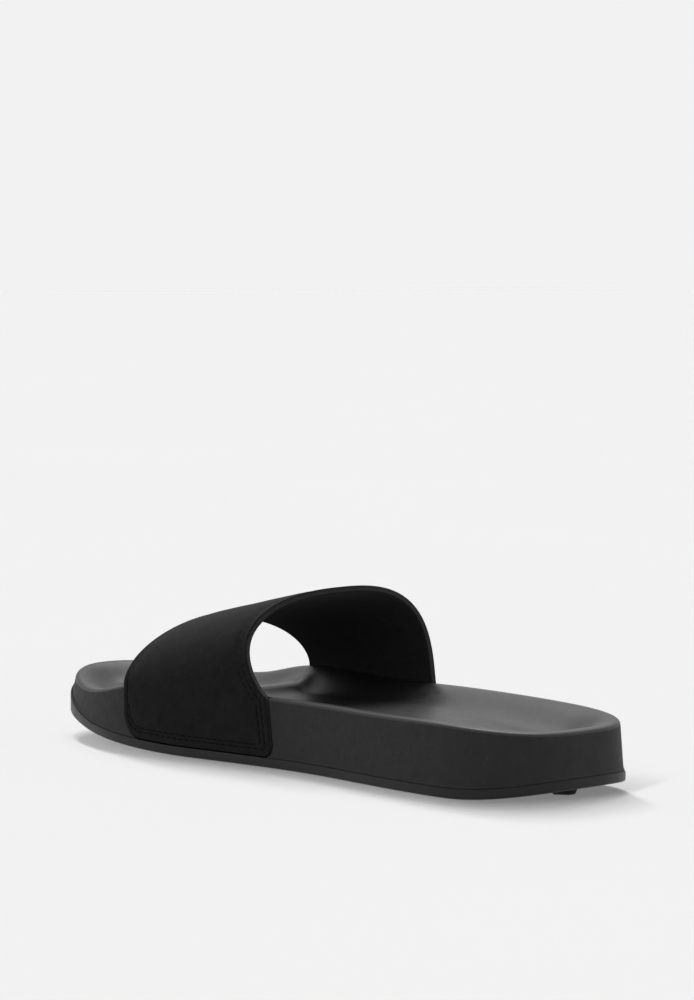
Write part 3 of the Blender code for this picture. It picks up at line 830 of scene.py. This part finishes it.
def seam_grooves(grid):
    """Depth of the sewn grooves: two along the back and the ends, one along the front."""
    inside = smooth(0.5 + (grid.ends - SEAMS[0][1]) / SEAM_WIDTH)
    depth = bump(grid.front - FRONT_SEAM, SEAM_WIDTH) * inside
    for from_back, from_end in SEAMS:
        back = bump(grid.back - from_back, SEAM_WIDTH) * smooth(0.5 + (grid.ends - from_end) / SEAM_WIDTH)
        end = bump(grid.ends - from_end, SEAM_WIDTH) * smooth(0.5 + (grid.back - from_back) / SEAM_WIDTH)
        end = end * smooth(0.5 + (grid.front - FRONT_SEAM) / SEAM_WIDTH)
        depth = np.maximum(depth, np.maximum(back, end))
    return SEAM_DEPTH * depth * mix(1.0, ARCH_SEAM, arch_share(grid.rows))


def edge_rounding(border):
    """How far a face falls away at the strap's rolled edge."""
    away = clamp(1.0 - border / STRAP_EDGE_ROUND)
    return STRAP_EDGE_ROUND * (1.0 - np.sqrt(1.0 - away * away))


def soft_waves(points, size, seed):
    """Slow unevenness of a hand-made surface, from -1 to 1."""
    flat = points.reshape(-1, 3)
    offset = Vector((seed, 0.0, 0.0))
    values = np.array([noise.noise(Vector(point) / size + offset) for point in flat])
    return values.reshape(points.shape[:-1])


def outer_relief(grid):
    border = np.minimum(np.minimum(grid.front, grid.back), grid.ends)
    padding = STRAP_PADDING * smooth((border - FRONT_SEAM) / (2.5 * FRONT_SEAM))
    waves = 0.6 * STRAP_PADDING * soft_waves(grid.points, 0.018, 3.0) * smooth(border / MARGIN)
    dent = DENT_DEPTH * bump(np.linalg.norm(grid.points - np.array(DENT), axis=-1), DENT_RADIUS)
    return padding + waves - dent - seam_grooves(grid) - edge_rounding(border)


def build_strap(grid):
    """The strap as one bent wall: cover, padding and lining, with a cut edge and sewn grooves."""
    border = np.minimum(np.minimum(grid.front, grid.back), grid.ends)
    outer = grid.points + grid.normals * outer_relief(grid)[..., None]
    lining = STRAP_WALL - edge_rounding(border)
    inner = grid.points - grid.normals * lining[..., None]
    rims = edge_loops(outer, inner)
    strap = grid_solid("strap_finished", outer, inner, rims)
    shade(strap, 80.0)
    return strap, outer, inner


def crossing(values, distance):
    """Place, as a fraction of an index, where values that rise from an edge first reach a distance."""
    high = int(np.argmax(values >= distance))
    return high - 1 + (distance - values[high - 1]) / (values[high] - values[high - 1])


def seam_places(grid, edge, distance):
    """Places in the grid, as fractions of its indices, along a line at a distance from one edge."""
    rows, columns = grid.back.shape
    foot = len(grid.margin) + FOOT_ROWS - 2
    if edge == "front":
        return [(i, crossing(grid.front[i], distance)) for i in range(rows)]
    if edge == "back":
        return [(i, columns - 1 - crossing(grid.back[i, ::-1], distance)) for i in range(rows)]
    if edge == "medial":
        return [(crossing(grid.ends[:foot, j], distance), j) for j in range(columns)]
    return [(rows - 1 - crossing(grid.ends[:-foot:-1, j], distance), j) for j in range(columns)]


def sample(values, places):
    """Values of a grid at places given as fractions of its indices."""
    rows, columns = values.shape[:2]
    found = []
    for i, j in places:
        low_i, low_j = min(int(i), rows - 2), min(int(j), columns - 2)
        near = mix(values[low_i, low_j], values[low_i + 1, low_j], i - low_i)
        far = mix(values[low_i, low_j + 1], values[low_i + 1, low_j + 1], i - low_i)
        found.append(mix(near, far, j - low_j))
    return np.array(found)


def seam_line(grid, face, edge, distance, limits):
    """Points, normals and arch shares of a seam on a face, where other edges are further off than limits."""
    places = seam_places(grid, edge, distance)
    for field, limit in limits:
        left = sample(field, places)
        places = [place for place, away in zip(places, left) if away >= limit]
    return sample(face, places), sample(grid.normals, places), sample(arch_share(grid.rows), places)


def add_stitches(mesh, line, side):
    """Add to lists of points and faces the stitches of a seam; side is 1 on the cover, -1 on the lining."""
    points, faces = mesh
    path, normals, arch = line
    steps = np.linalg.norm(np.diff(path, axis=0), axis=1)
    lengths = np.concatenate(([0.0], np.cumsum(steps)))
    pitch = STITCH_LENGTH + STITCH_GAP
    for number in range(int(lengths[-1] / pitch)):
        shares = np.linspace(0.0, 1.0, STITCH_RINGS)
        at = (number * pitch + 0.5 * STITCH_GAP) + shares * STITCH_LENGTH
        centre = np.stack([np.interp(at, lengths, path[:, k]) for k in range(3)], axis=1)
        up = side * np.stack([np.interp(at, lengths, normals[:, k]) for k in range(3)], axis=1)
        bow = np.sqrt(1.0 - (2.0 * shares - 1.0) ** 4)
        sunk = mix(0.1, 0.75, np.interp(at, lengths, arch)) * THREAD
        centre = centre + up * (0.9 * THREAD * (bow - 1.0) - sunk)[:, None]
        along = np.gradient(centre, axis=0)
        along = along / np.linalg.norm(along, axis=1, keepdims=True)
        across = np.cross(along, up)
        radius = THREAD * mix(0.3, 1.0, bow)
        start = len(points)
        for k in range(STITCH_RINGS):
            for turn in np.arange(STITCH_SIDES) * 2.0 * np.pi / STITCH_SIDES:
                points.append(centre[k] + radius[k] * (across[k] * math.cos(turn) + up[k] * math.sin(turn)))
        for k in range(STITCH_RINGS - 1):
            low = start + k * STITCH_SIDES
            for i in range(STITCH_SIDES):
                j = (i + 1) % STITCH_SIDES
                faces.append((low + i, low + j, low + STITCH_SIDES + j, low + STITCH_SIDES + i))
        faces.append(tuple(range(start, start + STITCH_SIDES)))
        faces.append(tuple(range(len(points) - STITCH_SIDES, len(points))))


def build_stitches(grid, outer, inner):
    """The thread of all seams as one mesh."""
    mesh = ([], [])
    add_stitches(mesh, seam_line(grid, outer, "front", FRONT_SEAM, ((grid.ends, SEAMS[0][1]),)), 1)
    for from_back, from_end in SEAMS:
        add_stitches(mesh, seam_line(grid, outer, "back", from_back, ((grid.ends, from_end),)), 1)
        for edge in ("medial", "lateral"):
            limits = ((grid.back, from_back), (grid.front, FRONT_SEAM))
            add_stitches(mesh, seam_line(grid, outer, edge, from_end, limits), 1)
    add_stitches(mesh, seam_line(grid, inner, "back", LINING_SEAM, ((grid.ends, FOOT_HEIGHT),)), -1)
    stitches = mesh_object("strap_stitches", *mesh)
    shade(stitches, 60.0)
    return stitches


def edge_loops(outer, inner):
    """Loops of the crease along the edge, where the rolled cover meets the rolled lining."""
    rows, columns = outer.shape[:2]
    loops = [[], [], []]
    for i, j in perimeter(rows, columns):
        inward_i = min(max(i, 1), rows - 2)
        inward_j = min(max(j, 1), columns - 2)
        inward = outer[inward_i, inward_j] + inner[inward_i, inward_j] - outer[i, j] - inner[i, j]
        inward = inward / np.linalg.norm(inward)
        for loop, share, depth in zip(loops, (0.30, 0.50, 0.70), (0.25, 1.0, 0.25)):
            loop.append(mix(outer[i, j], inner[i, j], share) + inward * EDGE_CREASE * depth)
    return [np.array(loop) for loop in loops]


def setup_camera():
    """A camera at the photograph's angle, level, with the shoe's middle at its place in the picture."""
    data = bpy.data.cameras.new("camera")
    data.lens = CAMERA_LENS
    data.sensor_width = SENSOR
    camera = bpy.data.objects.new("camera", data)
    bpy.context.scene.collection.objects.link(camera)
    azimuth = math.radians(CAMERA_AZIMUTH)
    elevation = math.radians(CAMERA_ELEVATION)
    back = Vector((
        math.sin(azimuth) * math.cos(elevation),
        -math.cos(azimuth) * math.cos(elevation),
        math.sin(elevation)))
    camera.location = CAMERA_TARGET + back * CAMERA_DISTANCE
    focal = CAMERA_LENS / SENSOR * PICTURE[1]
    ray = Vector((TARGET_PIXEL[0] - PICTURE[0] / 2, PICTURE[1] / 2 - TARGET_PIXEL[1], -focal)).normalized()
    pitch = math.asin(-back.z / math.hypot(ray.y, ray.z)) - math.atan2(ray.z, ray.y)
    turned = Matrix.Rotation(pitch, 3, "X") @ ray
    yaw = math.atan2(-back.y, -back.x) - math.atan2(turned.y, turned.x)
    camera.rotation_euler = (pitch, 0.0, yaw)
    bpy.context.scene.camera = camera


def add_node(tree, kind, values=None, **settings):
    """A shader node with values for its inputs, by name or number, and settings."""
    made = tree.nodes.new(kind)
    for name, value in settings.items():
        setattr(made, name, value)
    for name, value in (values or {}).items():
        made.inputs[name].default_value = value
    return made


def ramp(tree, source, low, high, start, end):
    """Map a value from start..end to low..high."""
    made = add_node(tree, "ShaderNodeMapRange", {
        "From Min": start, "From Max": end, "To Min": low, "To Max": high})
    tree.links.new(source, made.inputs["Value"])
    return made.outputs["Result"]


def grey(value, warm=0.0):
    return (value * (1.0 + warm), value, value * (1.0 - warm), 1.0)


def new_material(name, roughness, specular):
    finish = bpy.data.materials.new(name)
    finish.use_nodes = True
    tree = finish.node_tree
    shader = tree.nodes["Principled BSDF"]
    shader.inputs["Roughness"].default_value = roughness
    shader.inputs["IOR"].default_value = 1.45
    shader.inputs["Specular IOR Level"].default_value = specular
    place = add_node(tree, "ShaderNodeTexCoord").outputs["Object"]
    return finish, tree, shader, place


def noise_field(tree, place, scale, detail=2.0, roughness=0.5):
    made = add_node(tree, "ShaderNodeTexNoise", {"Scale": scale, "Detail": detail, "Roughness": roughness})
    tree.links.new(place, made.inputs["Vector"])
    return made.outputs["Fac"]


def mixed_colour(tree, factor, first, second):
    """Mix two colours; the first is a colour or another node's output."""
    made = add_node(tree, "ShaderNodeMix", data_type="RGBA")
    colours = [socket for socket in made.inputs if socket.type == "RGBA"]
    if isinstance(first, bpy.types.NodeSocket):
        tree.links.new(first, colours[0])
    else:
        colours[0].default_value = first
    colours[1].default_value = second
    tree.links.new(factor, made.inputs["Factor"])
    return [socket for socket in made.outputs if socket.type == "RGBA"][0]


def mottled_colour(tree, field, dark, light):
    """A colour that follows a noise field from dark to light."""
    return mixed_colour(tree, ramp(tree, field, 0.0, 1.0, *NOISE_RANGE), dark, light)


def add_bump(tree, height, distance, strength, before=None):
    made = add_node(tree, "ShaderNodeBump", {"Distance": distance, "Strength": strength})
    tree.links.new(height, made.inputs["Height"])
    if before is not None:
        tree.links.new(before, made.inputs["Normal"])
    return made.outputs["Normal"]


def foam_material(name, roughness, specular, dark, light, grain):
    """Moulded foam with a fine skin grain and a few light specks."""
    finish, tree, shader, place = new_material(name, roughness, specular)
    tone = noise_field(tree, place, 150.0, 6.0, 0.75)
    colour = mottled_colour(tree, tone, grey(dark), grey(light))
    speck = ramp(tree, noise_field(tree, place, 1900.0, 0.0), 0.0, 1.0, 0.80, 0.84)
    tree.links.new(mixed_colour(tree, speck, colour, grey(0.03)), shader.inputs["Base Color"])
    gloss = noise_field(tree, place, 250.0, 2.0)
    sheen = ramp(tree, gloss, roughness - 0.03, roughness + 0.03, *NOISE_RANGE)
    tree.links.new(sheen, shader.inputs["Roughness"])
    coarse = add_bump(tree, noise_field(tree, place, 500.0, 3.0, 0.6), 0.00018 * grain, 0.45)
    fine = add_bump(tree, noise_field(tree, place, 2200.0, 2.0, 0.6), 0.00007 * grain, 0.6, coarse)
    tree.links.new(fine, shader.inputs["Normal"])
    return finish


def rubber_material():
    """Dull rubber, smoother than the foam."""
    finish, tree, shader, place = new_material("outsole_rubber_skin", 0.42, 0.30)
    tone = noise_field(tree, place, 90.0, 3.0)
    colour = mottled_colour(tree, tone, grey(0.0044), grey(0.0062))
    tree.links.new(colour, shader.inputs["Base Color"])
    sheen = ramp(tree, noise_field(tree, place, 300.0, 2.0), 0.38, 0.46, *NOISE_RANGE)
    tree.links.new(sheen, shader.inputs["Roughness"])
    grain = add_bump(tree, noise_field(tree, place, 1400.0, 2.0), 0.00006, 0.4)
    tree.links.new(grain, shader.inputs["Normal"])
    return finish


def fabric_material(name, dark, light, sheen_weight):
    """Very matte fine fabric with lint specks."""
    finish, tree, shader, place = new_material(name, 0.92, 0.12)
    shader.inputs["Sheen Weight"].default_value = sheen_weight
    shader.inputs["Sheen Roughness"].default_value = 0.5
    tone = noise_field(tree, place, 180.0, 6.0, 0.8)
    colour = mottled_colour(tree, tone, grey(dark), grey(light))
    lint = ramp(tree, noise_field(tree, place, 1500.0, 0.0), 0.0, 1.0, 0.82, 0.86)
    tree.links.new(mixed_colour(tree, lint, colour, grey(0.02, 0.05)), shader.inputs["Base Color"])
    coarse = add_bump(tree, noise_field(tree, place, 700.0, 3.0, 0.6), 0.00016, 0.5)
    knit = add_bump(tree, noise_field(tree, place, 2400.0, 2.0), 0.00010, 0.7, coarse)
    tree.links.new(knit, shader.inputs["Normal"])
    return finish


def thread_material():
    finish, tree, shader, place = new_material("thread", 0.85, 0.05)
    twist = noise_field(tree, place, 3000.0, 1.0)
    tree.links.new(mixed_colour(tree, twist, grey(0.0010), grey(0.0024)), shader.inputs["Base Color"])
    return finish


def dress(piece, finishes, node=None):
    """Give a piece its materials and its body, and hide the CAD part that it stands in for, if one is named.
    """
    for finish in finishes:
        piece.data.materials.append(finish)
    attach(piece, "root")
    if node:
        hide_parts(node)


def mark_footbed(midsole):
    """Give the faces inside the rim the second skin."""
    for face in midsole.data.polygons:
        x, y, z = face.center
        if face.normal.z > FOOTBED_UP and z > mix(band_top(x), rim_height(x, y), FOOTBED_LOW):
            face.material_index = 1


def add_lamp(name, power, angle, azimuth, tilt):
    """A distant soft lamp on the side away from the azimuth; its tilt from the upright is in radians."""
    light = bpy.data.lights.new(name, "SUN")
    light.energy = power
    light.angle = math.radians(angle)
    lamp = bpy.data.objects.new(name, light)
    bpy.context.scene.collection.objects.link(lamp)
    turn = math.radians(azimuth)
    level = Vector((math.sin(turn), -math.cos(turn), 0.0)) * math.sin(tilt)
    down = level - Vector((0.0, 0.0, math.cos(tilt)))
    lamp.rotation_euler = down.to_track_quat("-Z", "Y").to_euler()
    return lamp


def floor_material():
    finish, tree, shader, place = new_material("floor_paper", 1.0, 0.0)
    cloud = noise_field(tree, place, 3.0)
    tone = mixed_colour(tree, cloud, grey(0.99 * FLOOR_PAPER), grey(1.01 * FLOOR_PAPER))
    tree.links.new(tone, shader.inputs["Base Color"])
    shader.inputs["Emission Color"].default_value = grey(1.0)
    shader.inputs["Emission Strength"].default_value = FLOOR_GLOW
    return finish


def setup_studio():
    """A pale lit floor, even white all round, a soft key lamp, and the rows of lamps for the floor."""
    bpy.ops.mesh.primitive_plane_add(size=FLOOR_SIZE)
    floor = bpy.context.object
    floor.name = "floor"
    floor.data.materials.append(floor_material())
    world = bpy.data.worlds.new("studio")
    world.use_nodes = True
    world.node_tree.nodes["Background"].inputs["Color"].default_value = grey(BACKGROUND)
    bpy.context.scene.world = world
    bpy.context.scene.view_settings.view_transform = "Standard"
    key_tilt = math.radians(KEY_TILT)
    add_lamp("key", KEY_POWER, KEY_ANGLE, KEY_AZIMUTH, key_tilt)
    missing = BACKGROUND * (1.0 - FLOOR_PAPER) - FLOOR_GLOW
    missing -= FLOOR_PAPER * KEY_POWER * math.cos(key_tilt) / math.pi
    for row in LAMP_ROWS:
        for number in range(row.count):
            tilt = math.atan(mix(row.start, row.end, (number + 0.5) / row.count))
            power = missing * math.pi / FLOOR_PAPER * row.share / row.count / math.cos(tilt)
            add_lamp(f"{row.name}_{number}", power, ROW_LAMP_ANGLE, row.azimuth, tilt)
    return floor


def link_lamps(floor, outsole):
    """Let the rows of lamps light the floor alone, and those before the shoe pass all but its outsole."""
    receivers = bpy.data.collections.new("floor_only")
    receivers.objects.link(floor)
    blockers = bpy.data.collections.new("outsole_shadow")
    blockers.objects.link(outsole)
    for row in LAMP_ROWS:
        for number in range(row.count):
            lamp = bpy.data.objects[f"{row.name}_{number}"]
            lamp.light_linking.receiver_collection = receivers
            if row.start < 0.0:
                lamp.light_linking.blocker_collection = blockers


setup_camera()
floor = setup_studio()
strap_grid = StrapGrid()
outsole = build_outsole()
dress(outsole, [rubber_material()], "outsole")
link_lamps(floor, outsole)
midsole = build_midsole()
wall_skin = foam_material("midsole_wall_skin", 0.62, 0.33, 0.0040, 0.0094, 1.6)
footbed_skin = foam_material("midsole_footbed_skin", 0.43, 0.46, 0.0050, 0.0090, 0.5)
dress(midsole, [wall_skin, footbed_skin], "midsole")
mark_footbed(midsole)
strap, cover, lining = build_strap(strap_grid)
cover_skin = fabric_material("strap_cover", 0.0028, 0.0086, 0.03)
lining_skin = fabric_material("strap_lining", 0.0080, 0.0145, 0.03)
edge_skin = fabric_material("strap_edge", 0.0190, 0.0290, 0.03)
dress(strap, [cover_skin, lining_skin, edge_skin], "strap")
stitches = build_stitches(strap_grid, cover, lining)
dress(stitches, [thread_material()])
